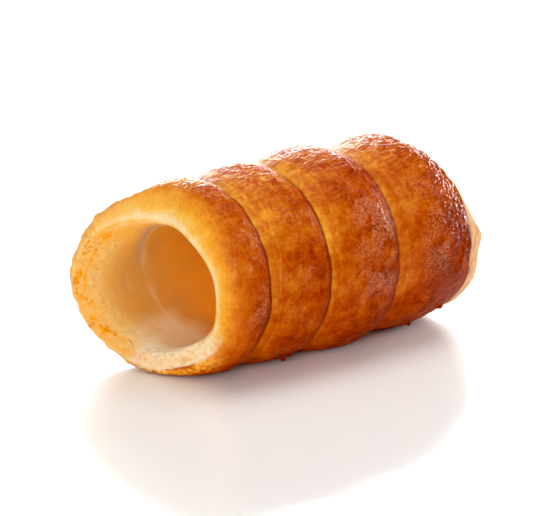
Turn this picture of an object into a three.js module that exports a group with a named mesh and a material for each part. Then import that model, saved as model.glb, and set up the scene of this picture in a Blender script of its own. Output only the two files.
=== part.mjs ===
// An unfilled pastry horn of the tube kind: one long strip of puff dough wound round a metal tube, baked,
// and slipped off the tube. Millimetres, +Z up. The bore runs along X, with the mouth at -X and the near
// side at -Y.
//
// The crust is one strip. A place on it is a winding angle, which grows by a full turn each time round, and
// a share across the strip, from its left edge, tucked under the turn before it, to its right edge, which
// laps over the turn after it. The lining closes the strip into one solid: a lip at each end and the bore.
import * as THREE from "three";
import { mergeVertices } from "three/addons/utils/BufferGeometryUtils.js";

// The bore, left by the metal tube.
const BORE_RADIUS = 15;
const BORE_HEIGHT = 22;

// The crust's outside: where its axis lies, and the radius over the crown of a turn at places along the tube.
const AXIS_HEIGHT = 23.4;
const CROWN_PLACES = [14, 34, 56, 76, 92];
const CROWN_RADII = [24.6, 25, 26.2, 25.1, 23.6];
const CREASE_DEPTH = 2; // from a turn's crown down to the crease at its left edge
const CROWN_SHARE = 0.66; // the crown sits right of the middle of its turn
const RISE_POWER = 0.85; // under 1 the rise from the crease starts more steeply
const LAP_SHARE = 0.3; // how much of the crown's height is left at the lapping edge
const FALL_POWER = 2.5; // over 1 the fall to the lap comes late
const MOUTH_FADE = 5; // the turns' relief fades out over this length behind the mouth
const END_FADE = 2.5; // and over this length before the far end
const LEAST_RELIEF = 0.02; // relief fainter than this is left flat, so that no sliver is made
const SETTLING = 1; // how softly the foot of a turn flattens on the floor

// Where the lapping edge of each turn crosses the near side, and how it climbs to the next turn behind.
const SEAM_PLACES = [-33, -12, 9, 24.5, 43, 65, 90, 112, 134, 156];
const FIRST_SEAM_TURN = -2;
const CLIMB_START = 114;
const CLIMB_END = 288;
const SEAM_BOW = 1.1;
const SEAM_BOW_ANGLE = 20;

// The mouth is cut aslant: it reaches further out on the far side. Each list holds the waves of a wavy ring,
// as [times round, share along the cosine, share along the sine].
const MOUTH_PLACE = 8.6;
const MOUTH_WAVES = [
  [1, 7.1, 1.8],
  [2, -1.5, -1.1],
  [3, 0.8, -0.7],
  [4, -0.4, 0.1],
  [5, -0.2, 0.3],
];
const END_PLACE = 92.7;
const END_WAVES = [
  [1, 3, -1.4],
  [2, 0.8, -0.9],
];

// The lips. A lip's foremost ring has a radius of its own. Outside it, the lip rounds over to the crust along
// the lip's length, and inside it, a funnel narrows to the bore. The mouth's near side is a plain round lip.
// Behind, the mouth is torn open instead: a thin rim with a long funnel inside it.
const ROUND_LIP = { radius: 17, length: 7, funnel: 2.6 };
const TORN_LIP = { radius: 21.8, length: 2.8, funnel: 5 };
const END_LIP = { radius: 17.5, length: 7.5, funnel: 4, torn: 0 };
const TORN_RANGE = { from: 90, to: 300, easeIn: 70, easeOut: 80 };
const LONG_FUNNEL = 7; // more length for the funnel behind, where the strip's loose end flares
const LONG_RANGE = { from: 90, to: 305, easeIn: 80, easeOut: 90 };
const LIP_ROUNDNESS = 2.2;
const FUNNEL_HOLLOW = 2.4; // how hollow the torn funnel's slope is

// Small torn points of dough: the turn whose lapping edge carries it, its angle, its width and its height.
const TORN_POINTS = [
  { turn: 2, angle: 282, width: 9, height: 1.3 },
  { turn: 4, angle: 278, width: 8, height: 1.1 },
];
const POINT_POWER = 6; // how closely a torn point keeps to the edge of its turn
// The strip's tail ends in a small pinched nub on the far end's lip.
const NUB_ANGLE = 5;
const NUB_WIDTH = 15;
const NUB_LENGTH = 1.4;

// Fineness of the mesh.
const COLUMNS = 72;
const ROWS = 8;
const FIRST_ANGLE = -70; // the columns start low on the near side, where the climb behind has ended
const LIP_STEPS = [0, 0.03, 0.12, 0.28]; // rings over a lip, as shares of its length
const FUNNEL_STEPS = [0, 0.04, 0.14, 0.32, 0.6, 1]; // rings down a funnel, as shares of its length
const WELD = 1e-3;

const FULL_TURN = 360;
const radians = (degrees) => (degrees * Math.PI) / 180;
const clamp = (value, low, high) => Math.min(Math.max(value, low), high);
const mix = (a, b, share) => a * (1 - share) + b * share; // exact at both ends

// A smooth step from 0 to 1.
function ease(share) {
  const t = clamp(share, 0, 1);
  return t * t * (3 - 2 * t);
}

// A smooth hill, 1 at the middle and next to nothing a width away.
const hill = (distance, width) => Math.exp(-((distance / (width / 2)) ** 2));

// How far two angles lie apart, at most half a turn.
function apart(a, b) {
  const difference = Math.abs(a - b) % FULL_TURN;
  return Math.min(difference, FULL_TURN - difference);
}

// Where a ring that waves back and forth along the tube lies at an angle.
function wavyRing(place, waves, angle) {
  return waves.reduce((sum, [times, along, across]) => {
    const a = radians(angle * times);
    return sum + along * Math.cos(a) + across * Math.sin(a);
  }, place);
}

const mouthPlace = (angle) => wavyRing(MOUTH_PLACE, MOUTH_WAVES, angle);

function endPlace(angle) {
  const nub = NUB_LENGTH * hill(apart(angle, NUB_ANGLE), NUB_WIDTH);
  return wavyRing(END_PLACE, END_WAVES, angle) + nub;
}

// Where the lapping edge of a turn lies along the tube. It stays level round the near side and climbs behind.
function seamPlace(turn, angle) {
  const k = turn - FIRST_SEAM_TURN;
  const climb = ease((angle - CLIMB_START) / (CLIMB_END - CLIMB_START));
  const bow = SEAM_BOW * Math.cos(radians(angle - SEAM_BOW_ANGLE));
  return mix(SEAM_PLACES[k], SEAM_PLACES[k + 1], climb) + bow;
}

// The crown radius at a place along the tube, smooth from one listed place to the next.
function crownRadius(x) {
  const last = CROWN_PLACES.length - 1;
  if (x >= CROWN_PLACES[last]) return CROWN_RADII[last];
  const k = Math.max(CROWN_PLACES.findIndex((place) => x < place), 1);
  const share = (x - CROWN_PLACES[k - 1]) / (CROWN_PLACES[k] - CROWN_PLACES[k - 1]);
  return mix(CROWN_RADII[k - 1], CROWN_RADII[k], ease(share));
}

// The height of a turn across the strip: a swift rise from the crease, the crown, and a fall to the lap.
function turnHeight(share) {
  if (share < CROWN_SHARE) {
    return Math.sin((Math.PI / 2) * Math.max(share / CROWN_SHARE, 0) ** RISE_POWER);
  }
  const fall = (share - CROWN_SHARE) / (1 - CROWN_SHARE);
  return 1 - (1 - LAP_SHARE) * Math.min(fall, 1) ** FALL_POWER;
}

// 1 within a range of angles, easing to 0 at its ends.
function within(range, angle) {
  return ease((angle - range.from) / range.easeIn) * ease((range.to - angle) / range.easeOut);
}

// The mouth's lip at an angle, between the plain round lip and the torn one.
function mouthLip(angle) {
  const torn = within(TORN_RANGE, angle);
  const long = within(LONG_RANGE, angle);
  return {
    torn,
    radius: mix(ROUND_LIP.radius, TORN_LIP.radius, torn),
    length: mix(ROUND_LIP.length, TORN_LIP.length, torn),
    funnel: mix(ROUND_LIP.funnel, TORN_LIP.funnel, torn) + LONG_FUNNEL * long,
  };
}

// How far a lip has risen to the full crust at a share of its length.
const lipRise = (share) => (1 - clamp(1 - share, 0, 1) ** LIP_ROUNDNESS) ** (1 / LIP_ROUNDNESS);

// The soft floor: a foot that would sink below it flattens on it.
function settle(z) {
  if (z >= SETTLING) return z;
  if (z <= -SETTLING) return 0;
  return (z + SETTLING) ** 2 / (4 * SETTLING);
}

// The angle of a column, counted round the tube.
const columnAngle = (column) => FIRST_ANGLE + (FULL_TURN * (column % COLUMNS)) / COLUMNS;

// A place on a ring round an axis at a given height.
function placeOnRing(x, angle, radius, height) {
  const a = radians(angle);
  return [x, -radius * Math.cos(a), settle(height + radius * Math.sin(a))];
}

// How far a torn point lifts the crust near the edge that carries it.
function tornHeight(turn, angle, share) {
  return TORN_POINTS.filter((point) => point.turn === turn).reduce(
    (sum, point) => sum + point.height * hill(apart(angle, point.angle), point.width) * share ** POINT_POWER,
    0,
  );
}

// A place on the outside, drawn in at both ends where the lips round over.
function placeOutside(x, angle, fullRadius) {
  const lip = mouthLip(angle);
  const mouthRise = lipRise((x - mouthPlace(angle)) / lip.length);
  const endRise = lipRise((endPlace(angle) - x) / END_LIP.length);
  const radius = mix(END_LIP.radius, mix(lip.radius, fullRadius, mouthRise), endRise);
  return placeOnRing(x, angle, radius, mix(BORE_HEIGHT, AXIS_HEIGHT, mouthRise * endRise));
}

// A place on the outside of the strip.
function stripPoint(column, row) {
  const turn = Math.floor(column / COLUMNS) + FIRST_SEAM_TURN + 1;
  const angle = columnAngle(column);
  const mouth = mouthPlace(angle);
  const end = endPlace(angle);
  const leftEdge = seamPlace(turn - 1, angle);
  const rightEdge = seamPlace(turn, angle);
  const first = mouth + LIP_STEPS.at(-1) * mouthLip(angle).length;
  const last = end - LIP_STEPS.at(-1) * END_LIP.length;
  const x = mix(clamp(leftEdge, first, last), clamp(rightEdge, first, last), row / ROWS);
  const share = (x - leftEdge) / (rightEdge - leftEdge);
  const fade = ease((x - first) / MOUTH_FADE) * ease((last - x) / END_FADE);
  const relief = fade < LEAST_RELIEF ? 0 : fade;
  const raised = tornHeight(turn, angle, share) - CREASE_DEPTH * (1 - turnHeight(share));
  return placeOutside(x, angle, crownRadius(x) + raised * relief);
}

// A lip's and its funnel's places in a column, from the strip's border inward to the bore.
function lipColumn(angle, start, inward, lip) {
  const over = LIP_STEPS.map((step) => start + inward * step * lip.length).reverse();
  const rounded = over.map((x) => placeOutside(x, angle, crownRadius(x)));
  const funnel = FUNNEL_STEPS.slice(1).map((step) => {
    const fall = mix(1 - lipRise(step), (1 - step) ** FUNNEL_HOLLOW, lip.torn);
    const flare = (lip.radius - BORE_RADIUS) * fall;
    return placeOnRing(start + inward * step * lip.funnel, angle, BORE_RADIUS + flare, BORE_HEIGHT);
  });
  return [...rounded, ...funnel];
}

// A column of the lining: over the mouth's lip, down the bore, and out over the far end's lip.
function liningColumn(column) {
  const angle = columnAngle(column);
  const mouth = mouthPlace(angle);
  const end = endPlace(angle);
  const middle = placeOnRing((mouth + end) / 2, angle, BORE_RADIUS, BORE_HEIGHT);
  const farEnd = lipColumn(angle, end, -1, END_LIP).reverse();
  return [...lipColumn(angle, mouth, 1, mouthLip(angle)), middle, ...farEnd];
}

// Two triangles for each four-sided face of a grid of points.
function addFace(positions, a, b, c, d) {
  positions.push(...a, ...b, ...c, ...a, ...c, ...d);
}

// The strip's outside, and the low wall at each lap down to the next turn's tucked edge.
function crustPositions() {
  const turns = SEAM_PLACES.length - 3; // the outermost seams only shape the strip's hidden ends
  const lastColumn = turns * COLUMNS;
  const strip = [];
  for (let column = 0; column <= lastColumn; column += 1) {
    strip.push(Array.from({ length: ROWS + 1 }, (_, row) => stripPoint(column, row)));
  }
  const positions = [];
  for (let column = 0; column < lastColumn; column += 1) {
    const here = strip[column];
    const next = strip[column + 1];
    for (let row = 0; row < ROWS; row += 1) {
      addFace(positions, here[row], here[row + 1], next[row + 1], next[row]);
    }
    if (column + 1 + COLUMNS <= lastColumn) {
      const tuckedHere = strip[column + COLUMNS][0];
      const tuckedNext = strip[column + 1 + COLUMNS][0];
      addFace(positions, here[ROWS], tuckedHere, tuckedNext, next[ROWS]);
    }
  }
  return positions;
}

function liningPositions() {
  const positions = [];
  for (let column = 0; column < COLUMNS; column += 1) {
    const here = liningColumn(column);
    const next = liningColumn(column + 1);
    for (let row = 0; row + 1 < here.length; row += 1) {
      addFace(positions, here[row], next[row], next[row + 1], here[row + 1]);
    }
  }
  return positions;
}

// Joins equal corners, and drops the faces that an end of the tube has pressed flat.
function weld(positions) {
  const loose = new THREE.BufferGeometry();
  loose.setAttribute("position", new THREE.Float32BufferAttribute(positions, 3));
  const welded = mergeVertices(loose, WELD);
  const corners = Array.from(welded.index.array);
  const kept = [];
  for (let i = 0; i < corners.length; i += 3) {
    const [a, b, c] = corners.slice(i, i + 3);
    if (a !== b && b !== c && c !== a) kept.push(a, b, c);
  }
  welded.setIndex(kept);
  return welded;
}

// Centres the pastry over the origin, resting on z = 0.
function standOnOrigin(geometry) {
  geometry.computeBoundingBox();
  const { min, max } = geometry.boundingBox;
  geometry.translate(-(min.x + max.x) / 2, -(min.y + max.y) / 2, -min.z);
  return geometry;
}

const crust = new THREE.MeshStandardMaterial({ color: 0xc9782b, roughness: 0.45, metalness: 0 });
const shell = new THREE.Mesh(standOnOrigin(weld([...crustPositions(), ...liningPositions()])), crust);
shell.name = "pastry_shell";
shell.geometry.computeVertexNormals();

const pastryHorn = new THREE.Group();
pastryHorn.add(shell);

export default pastryHorn;
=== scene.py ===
# %% [markdown]
# # A pastry horn wound from one strip of puff dough
#
# The real thing is a long strip of puff dough, wound round a metal tube so that each turn laps over the next,
# brushed with egg, baked, and slipped off the tube. Its crust could be sculpted by hand, or made as a plain tube
# with the laps painted on. Here it is worked out in code as one fine surface, because then each lap, lip and
# crumb is a real shape, and one changed size changes all that hangs on it. Relief comes first, colour after.
#
# The first cell loads the solid model that the crust dresses, and measures it before anything is added.

# %% Load the frame
import math

import bpy
import numpy as np
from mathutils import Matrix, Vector


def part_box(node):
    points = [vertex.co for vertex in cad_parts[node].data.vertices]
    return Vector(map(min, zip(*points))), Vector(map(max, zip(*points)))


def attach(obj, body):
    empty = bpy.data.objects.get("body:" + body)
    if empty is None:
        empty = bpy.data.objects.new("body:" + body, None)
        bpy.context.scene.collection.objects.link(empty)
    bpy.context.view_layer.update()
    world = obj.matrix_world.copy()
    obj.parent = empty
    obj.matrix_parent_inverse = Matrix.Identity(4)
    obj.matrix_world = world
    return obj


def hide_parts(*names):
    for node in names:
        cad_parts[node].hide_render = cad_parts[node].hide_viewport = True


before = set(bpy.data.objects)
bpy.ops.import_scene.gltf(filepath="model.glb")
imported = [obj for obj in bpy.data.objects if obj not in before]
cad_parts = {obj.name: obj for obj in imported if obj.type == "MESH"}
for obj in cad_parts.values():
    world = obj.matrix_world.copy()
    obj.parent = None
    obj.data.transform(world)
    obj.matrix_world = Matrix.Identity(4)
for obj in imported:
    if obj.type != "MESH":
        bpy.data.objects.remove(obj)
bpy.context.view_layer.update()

NODE = "pastry_shell"
LOW, HIGH = (np.array(corner) * 1000 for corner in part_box(NODE))  # in millimetres
print("the solid spans", (HIGH - LOW).round(1), "mm")

# %% [markdown]
# ## The tube
#
# The metal tube has left a straight round bore, and the dough rose a little more above it than below, because the
# pastry lay on its side. So the crust has a middle of its own, a bit higher than the bore's. All the work is done
# in millimetres, on a tube along X with its mouth at the low end, and a point's angle is 0 on the near side, 90 at
# the top, 180 behind and 270 underneath.

# %% The bore and the middle of the crust
MM = 0.001
FULL_TURN = 360
BORE_RADIUS = 15
BORE_HEIGHT = 22
AXIS_HEIGHT = 23.4
print("the crust's middle is", round(AXIS_HEIGHT - BORE_HEIGHT, 2), "mm above the bore's")

# %% [markdown]
# ## Small shaping tools
#
# Dough has no corners, so every change of shape is blended. Blender's modifiers can round an edge, but not by a
# rule that depends on the place on the crust. These helpers can, and they work on whole arrays of points at once,
# so that a mesh of hundreds of thousands of points is shaped in seconds.


# %% Blends, steps and hills
def mix(a, b, share):
    """Value a where share is 0, value b where it is 1."""
    return a * (1 - share) + b * share


def ease(share):
    """A smooth step from 0 to 1."""
    t = np.clip(share, 0, 1)
    return t * t * (3 - 2 * t)


def rising(value, start, width):
    """0 up to the start, 1 from a width beyond it, and smooth between."""
    return ease((value - start) / width)


def falling(value, start, width):
    """1 up to the start, 0 from a width beyond it, and smooth between."""
    return 1 - rising(value, start, width)


def hill(distance, width):
    """A smooth hill, 1 at the middle and next to nothing a width away."""
    return np.exp(-((distance / (width / 2)) ** 2))


def apart(a, b):
    """How far two angles lie apart, at most half a turn."""
    difference = np.abs(a - b) % FULL_TURN
    return np.minimum(difference, FULL_TURN - difference)


def within(span, angle):
    """1 within a span of angles, easing to 0 at its ends."""
    return rising(angle, span["start"], span["ease_in"]) * ease((span["stop"] - angle) / span["ease_out"])


print("half a smooth step is", ease(0.5))

# %% [markdown]
# ## Noise that stays put
#
# Baked dough is uneven at every size, from lumps to fine crinkles. Blender's noise lives in materials, and here
# the unevenness has to be real shape. So this cell makes its own: a lattice of random slopes, blended smoothly,
# which is the classic gradient noise. A fixed seed gives the same crust on every run, and each use below takes
# its own number, so that no two patterns are alike.

# %% Gradient noise
SLOPES_KEPT = 256
luck = np.random.default_rng(38)
SLOPES = luck.normal(size=(SLOPES_KEPT, 3))
SLOPES /= np.linalg.norm(SLOPES, axis=1, keepdims=True)
SHUFFLE = luck.permutation(SLOPES_KEPT)
NOISE_GAIN = 1.7  # brings the noise to about -1 to 1
PATTERN_STEP = 17.31  # how far apart two patterns lie on the lattice


def noise(points, size, pattern=0):
    """Smooth noise of about -1 to 1 with features of this size; size may differ along each axis."""
    spot = points / np.asarray(size, float) + PATTERN_STEP * pattern
    cell = np.floor(spot).astype(np.int64)
    inside = spot - cell
    blend = inside**3 * (inside * (inside * 6 - 15) + 10)
    total = np.zeros(len(points))
    for corner in np.ndindex(2, 2, 2):
        at = cell + corner
        pick = SHUFFLE[at[:, 0] % SLOPES_KEPT]
        pick = SHUFFLE[(pick + at[:, 1]) % SLOPES_KEPT]
        pick = SHUFFLE[(pick + at[:, 2]) % SLOPES_KEPT]
        slope = np.einsum("ij,ij->i", SLOPES[pick], inside - corner)
        near = np.where(corner, blend, 1 - blend).prod(axis=1)
        total += near * slope
    return total * NOISE_GAIN


def ridges(points, size, pattern=0):
    """Noise folded into sharp crests, from 0 in the valleys to 1 on the crests."""
    return 1 - np.minimum(np.abs(noise(points, size, pattern)) * 2, 1)


print("noise at the origin", noise(np.zeros((1, 3)), 1).round(3))

# %% [markdown]
# ## Where the laps lie
#
# Where one turn laps over the next there is a step and a dark line. A plain helix would lean everywhere, but these
# laps cross the near side almost square to the tube and climb to the next turn behind. So each lap has its own
# place on the near side, and an eased climb leads from one to the next. A place on the strip is told by its
# winding angle, which grows by a full turn each time round. Hand-cut dough has no straight edge, so noise lets the
# lap wander a little.

# %% The laps between the turns
SEAM_PLACES = np.array([-54, -33, -12, 9, 24.5, 43, 65, 90, 112, 134, 156])
FIRST_SEAM_TURN = -3
SEAM_START = -70
CLIMB_START, CLIMB_END = 88, 288
SEAM_BOW, SEAM_BOW_ANGLE = 1.1, 20
SEAM_WANDER = 0.35
WANDER_WINDING = 24  # degrees of winding for each step of the wander
LAST_BOW = {"winding": 4 * FULL_TURN - 38, "width": 62, "length": 2.0}


def seam_place(winding):
    """Where the lapping edge lies along the tube, at a winding angle."""
    turn = np.floor((winding - SEAM_START) / FULL_TURN).astype(int)
    angle = winding - turn * FULL_TURN
    k = np.clip(turn - FIRST_SEAM_TURN, 0, len(SEAM_PLACES) - 2)
    climb = ease((angle - CLIMB_START) / (CLIMB_END - CLIMB_START))
    bow = SEAM_BOW * np.cos(np.radians(angle - SEAM_BOW_ANGLE))
    line = np.stack([winding.ravel() / WANDER_WINDING, np.zeros(winding.size), np.zeros(winding.size)], axis=1)
    wander = SEAM_WANDER * (noise(line, 1, 3) + 0.4 * noise(line, 0.3, 4)).reshape(winding.shape)
    last_bow = LAST_BOW["length"] * hill(winding - LAST_BOW["winding"], LAST_BOW["width"])
    return mix(SEAM_PLACES[k], SEAM_PLACES[k + 1], climb) + bow + wander + last_bow


print("laps on the near side at", seam_place(np.arange(4) * 360.0).round(1))

# %% [markdown]
# ## How fat each turn is
#
# Each turn swells between its two laps, and the middle turns swell the most. A circle swept along the strip would
# give every turn the same section. Instead one curve runs over all the crowns, and a second one says how a turn
# rises from the crease beside its neighbour, rounds over, and falls to its own lap. Both are plain formulas, so
# they stay smooth at any fineness.

# %% Crowns and creases
CROWN_PLACES = [14, 34, 56, 76, 92]
CROWN_RADII = [24.6, 25, 26.2, 25.1, 23.6]
CROWN_SHARE = 0.66
RISE_POWER = 0.85
LAP_SHARE = 0.3
FALL_POWER = 2.5


def crown_radius(x):
    """The radius over the crown of a turn, smooth from one listed place to the next."""
    k = np.clip(np.searchsorted(CROWN_PLACES, x, side="right"), 1, len(CROWN_PLACES) - 1)
    places, radii = np.array(CROWN_PLACES), np.array(CROWN_RADII)
    share = (x - places[k - 1]) / (places[k] - places[k - 1])
    return mix(radii[k - 1], radii[k], ease(share))


def turn_height(share):
    """A swift rise from the crease, the crown, and a fall to the lap."""
    rise = np.sin(math.pi / 2 * np.clip(share / CROWN_SHARE, 0, 1) ** RISE_POWER)
    fall = np.clip((share - CROWN_SHARE) / (1 - CROWN_SHARE), 0, 1)
    return np.where(share < CROWN_SHARE, rise, 1 - (1 - LAP_SHARE) * fall**FALL_POWER)


print("the fattest crown is", 2 * max(CROWN_RADII), "mm across")

# %% [markdown]
# ## The lips
#
# The mouth is a plain round lip on the near side. Behind, the first turn is torn open, so the rim is thin there and
# a long funnel leads in. The far end has a plain lip too. A bevel would give every lip one section, so each lip is
# three sizes instead: the radius of its foremost ring, the length of the rounding outside it, and the depth of the
# funnel inside. The mouth blends its two kinds by the angle.

# %% The sizes of the lips
ROUND_LIP = {"radius": 17, "length": 7, "funnel": 2.6}
TORN_LIP = {"radius": 21.8, "length": 2.8, "funnel": 5}
END_LIP = {"radius": 17.5, "length": 7.5, "funnel": 4, "torn": 0}
LONG_FUNNEL = 7
TORN_RANGE = {"start": 90, "stop": 300, "ease_in": 70, "ease_out": 80}
LONG_RANGE = {"start": 90, "stop": 305, "ease_in": 80, "ease_out": 90}
LIP_ROUNDNESS = 2.2


def mouth_lip(angle):
    """The sizes of the mouth's lip at an angle."""
    around = angle % FULL_TURN
    torn = within(TORN_RANGE, around)
    lip = {key: mix(ROUND_LIP[key], TORN_LIP[key], torn) for key in ROUND_LIP}
    lip["funnel"] = lip["funnel"] + LONG_FUNNEL * within(LONG_RANGE, around)
    lip["torn"] = torn
    return lip


def lip_rise(share):
    """How far a lip has risen to the full crust at a share of its length."""
    return (1 - np.clip(1 - share, 0, 1) ** LIP_ROUNDNESS) ** (1 / LIP_ROUNDNESS)


print("half way along, a lip has risen", lip_rise(0.5).round(2))

# %% [markdown]
# ## Where the two ends lie
#
# Neither end is a flat cut: the mouth leans back and waves, and the strip's tail leaves a small nub at the far end.
# A list of points could draw both rings, but a sum of a few waves round the tube closes on itself with no corner
# and needs only a few numbers. The torn part of the mouth wanders a little more, because torn dough has no smooth
# line.

# %% The mouth's ring and the end's
MOUTH_PLACE = 8.6
MOUTH_WAVES = [(1, 7.1, 1.8), (2, -1.5, -1.1), (3, 0.8, -0.7), (4, -0.4, 0.1), (5, -0.2, 0.3)]
END_PLACE = 92.7
END_WAVES = [(1, 3, -1.4), (2, 0.8, -0.9)]
NUB_ANGLE, NUB_WIDTH, NUB_LENGTH = 5, 15, 1.4


def wavy_ring(place, waves, angle):
    """Where a ring that waves back and forth along the tube lies at an angle."""
    for times, along, across in waves:
        a = np.radians(angle * times)
        place = place + along * np.cos(a) + across * np.sin(a)
    return place


def mouth_place(angle):
    """Where the mouth's foremost ring lies; its torn part wanders to and fro."""
    a = np.radians(angle)
    circle = TORN_LIP["radius"] * np.stack([np.cos(a), np.sin(a), 0 * a], axis=-1).reshape(-1, 3)
    wander = (0.35 * noise(circle, 3.6, 41) + 0.14 * noise(circle, 1.4, 42)).reshape(np.shape(a))
    return wavy_ring(MOUTH_PLACE, MOUTH_WAVES, angle) + wander * within(TORN_RANGE, angle % FULL_TURN)


def end_place(angle):
    """Where the far end's last ring lies, with its nub."""
    return wavy_ring(END_PLACE, END_WAVES, angle) + NUB_LENGTH * hill(apart(angle, NUB_ANGLE), NUB_WIDTH)


quarters = np.arange(4) * 90.0
print("mouth at", mouth_place(quarters).round(1), "and far end at", end_place(quarters).round(1))

# %% [markdown]
# ## From a place on the dough to a point in space
#
# A place on the crust is a distance along the tube, an angle and a radius. Over the lips the dough draws in, and
# its middle sinks from the crust's to the bore's. The strip and the lips could each be bent on their own, but one
# function for both means that they agree wherever they meet.


# %% Places on the crust
def place_on_ring(x, angle, radius, height):
    """A point on a ring round the tube, in millimetres."""
    a = np.radians(angle)
    spots = np.broadcast_arrays(x, -radius * np.cos(a), height + radius * np.sin(a))
    return np.stack(spots, axis=-1)


def place_outside(x, angle, full_radius):
    """A place on the outside, drawn in at both ends where the lips round over."""
    lip = mouth_lip(angle)
    mouth_rise = lip_rise((x - mouth_place(angle)) / lip["length"])
    end_rise = lip_rise((end_place(angle) - x) / END_LIP["length"])
    radius = mix(END_LIP["radius"], mix(lip["radius"], full_radius, mouth_rise), end_rise)
    height = mix(BORE_HEIGHT, AXIS_HEIGHT, mouth_rise * end_rise)
    return place_on_ring(x, angle, radius, height)


print("a point on the first crown", place_outside(np.array([20.0]), np.array([90.0]), 25).round(1))

# %% [markdown]
# ## The strip
#
# The outside is one strip, so it is made as one grid: columns along the winding, and rows across the strip from one
# lap to the next. A separate ring for each turn would be easier, but a ring can't climb into the next one. Where a
# turn runs past either end of the tube, its rows are squeezed together there, and the weld later removes them.

# %% The strip as a grid
COLUMNS = 600
ROWS = 74
TURNS = 7
FIRST_ANGLE = -90
LIP_BORDER = 0.28  # the strip ends at this share of each lip, and the lining begins

column_angles = FIRST_ANGLE + FULL_TURN * np.arange(COLUMNS + 1) / COLUMNS
column_angles[-1] = column_angles[0]
columns = np.arange(TURNS * COLUMNS + 1)
strip_turn = columns // COLUMNS - 1
angle = column_angles[columns % COLUMNS][:, None]
winding = angle + FULL_TURN * strip_turn[:, None]

left_edge = seam_place(winding - FULL_TURN)
right_edge = seam_place(winding)
first = mouth_place(angle) + LIP_BORDER * mouth_lip(angle)["length"]
last = end_place(angle) - LIP_BORDER * END_LIP["length"]

across = np.linspace(0, 1, ROWS + 1)[None, :]
strip_x = mix(np.clip(left_edge, first, last), np.clip(right_edge, first, last), across)
strip_share = (strip_x - left_edge) / (right_edge - left_edge)
print("the strip has", strip_x.size, "points")

# %% [markdown]
# ## The height of the strip
#
# The creases between the turns are shallow on the near side and deep along the top, where the dough rose freely.
# They die out towards both ends, where the lips round over, and two torn points stand up at laps underneath.
# Sculpting could do all this, but a height that follows from the place is far easier to steer, so it is worked out
# on the grid and added to the crowns.

# %% How high each place stands
CREASE_DEPTH = 2
NEAR_SHALLOWING = {"angle": 5, "width": 110, "share": 0.4}
TOP_DEEPENING = {"angle": 110, "width": 80, "share": 0.8}
MOUTH_FADE = 5
END_FADE = 2.5
TORN_POINTS = [(2, 282, 9, 1.3), (4, 278, 8, 1.1)]  # turn, angle, width and height
POINT_POWER = 6


def relief_fade(x):
    """The turns' relief dies out towards both ends of the tube."""
    return ease((x - first) / MOUTH_FADE) * ease((last - x) / END_FADE)


def torn_height(share):
    """How far the torn points of dough lift the crust near the edge that carries them."""
    total = 0
    for turn, place, width, height in TORN_POINTS:
        lifted = height * hill(winding - turn * FULL_TURN - place, width)
        total = total + lifted * np.clip(share, 0, 1) ** POINT_POWER
    return total


shallow = NEAR_SHALLOWING["share"] * hill(apart(angle, NEAR_SHALLOWING["angle"]), NEAR_SHALLOWING["width"])
shallow = shallow - TOP_DEEPENING["share"] * hill(apart(angle, TOP_DEEPENING["angle"]), TOP_DEEPENING["width"])
strip_relief = relief_fade(strip_x)
raised = torn_height(strip_share) - CREASE_DEPTH * (1 - shallow) * (1 - turn_height(strip_share))
strip_radius = crown_radius(strip_x) + raised * strip_relief
print("the strip's radius runs from", strip_radius.min().round(1), "to", strip_radius.max().round(1), "mm")

# %% [markdown]
# ## The cut edge of the dough
#
# A lapping turn ends in the cut edge of the strip, which curls over and under in the heat, and the next turn comes
# out from below it. So rows are added on both sides of the grid: some that tuck under the turn before, and some
# that roll over the edge. The curl gives each lap a real thickness and a real shadow, which no painted line can.

# %% Tucked and curled edges
TUCKS = [(1.1, 0.5), (0.5, 0.2)]  # how far under the turn before, and how much lower
CURL_RADIUS = 0.6
CURL_START = 30
CURL_ANGLES = [45, 65, 85, 105, 130, 160]

tuck_x, tuck_radius = [], []
for under, lower in TUCKS:
    tuck_x.append(strip_x[:, :1] - under * strip_relief[:, :1])
    tuck_radius.append(strip_radius[:, :1] - lower * strip_relief[:, :1])

curl_x, curl_radius = [], []
for degrees in CURL_ANGLES:
    turned, begun = math.radians(degrees), math.radians(CURL_START)
    out = CURL_RADIUS * (math.sin(turned) - math.sin(begun))
    down = CURL_RADIUS * (math.cos(begun) - math.cos(turned))
    curl_x.append(strip_x[:, -1:] + out * strip_relief[:, -1:])
    curl_radius.append(strip_radius[:, -1:] - down * strip_relief[:, -1:])

strip_x = np.hstack(tuck_x + [strip_x] + curl_x)
strip_radius = np.hstack(tuck_radius + [strip_radius] + curl_radius)
strip_curl = np.zeros(strip_x.shape)
strip_curl[:, -len(CURL_ANGLES) :] = 1
strip_share = np.clip((strip_x - left_edge) / (right_edge - left_edge), 0, 1)
strip_share = np.where(strip_curl > 0, 1, strip_share)
strip_relief = relief_fade(strip_x)
strip_points = place_outside(strip_x, angle, strip_radius)
print("with its edges it has", strip_x.size)

# %% [markdown]
# ## The lips and the bore
#
# A second grid closes the strip: over the mouth's lip, down the funnel, along the bore that the metal tube left,
# and out over the far lip. Cutting the bore out with a boolean would leave a hard edge where it meets the dough.
# This grid's border points are the strip's own, so the two can be welded into one skin, and its rows lie closest
# together at the rims, where the shape turns most.

# %% The lining as a grid
LIP_ROWS, FUNNEL_ROWS, END_FUNNEL_ROWS, BORE_ROWS = 14, 60, 18, 64
LIP_CROWDING, FUNNEL_CROWDING, BORE_CROWDING = 2, 1.35, 1.3
FUNNEL_HOLLOW = 2.4
ring = column_angles[:, None]
mouth, end = mouth_place(ring), end_place(ring)


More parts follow.
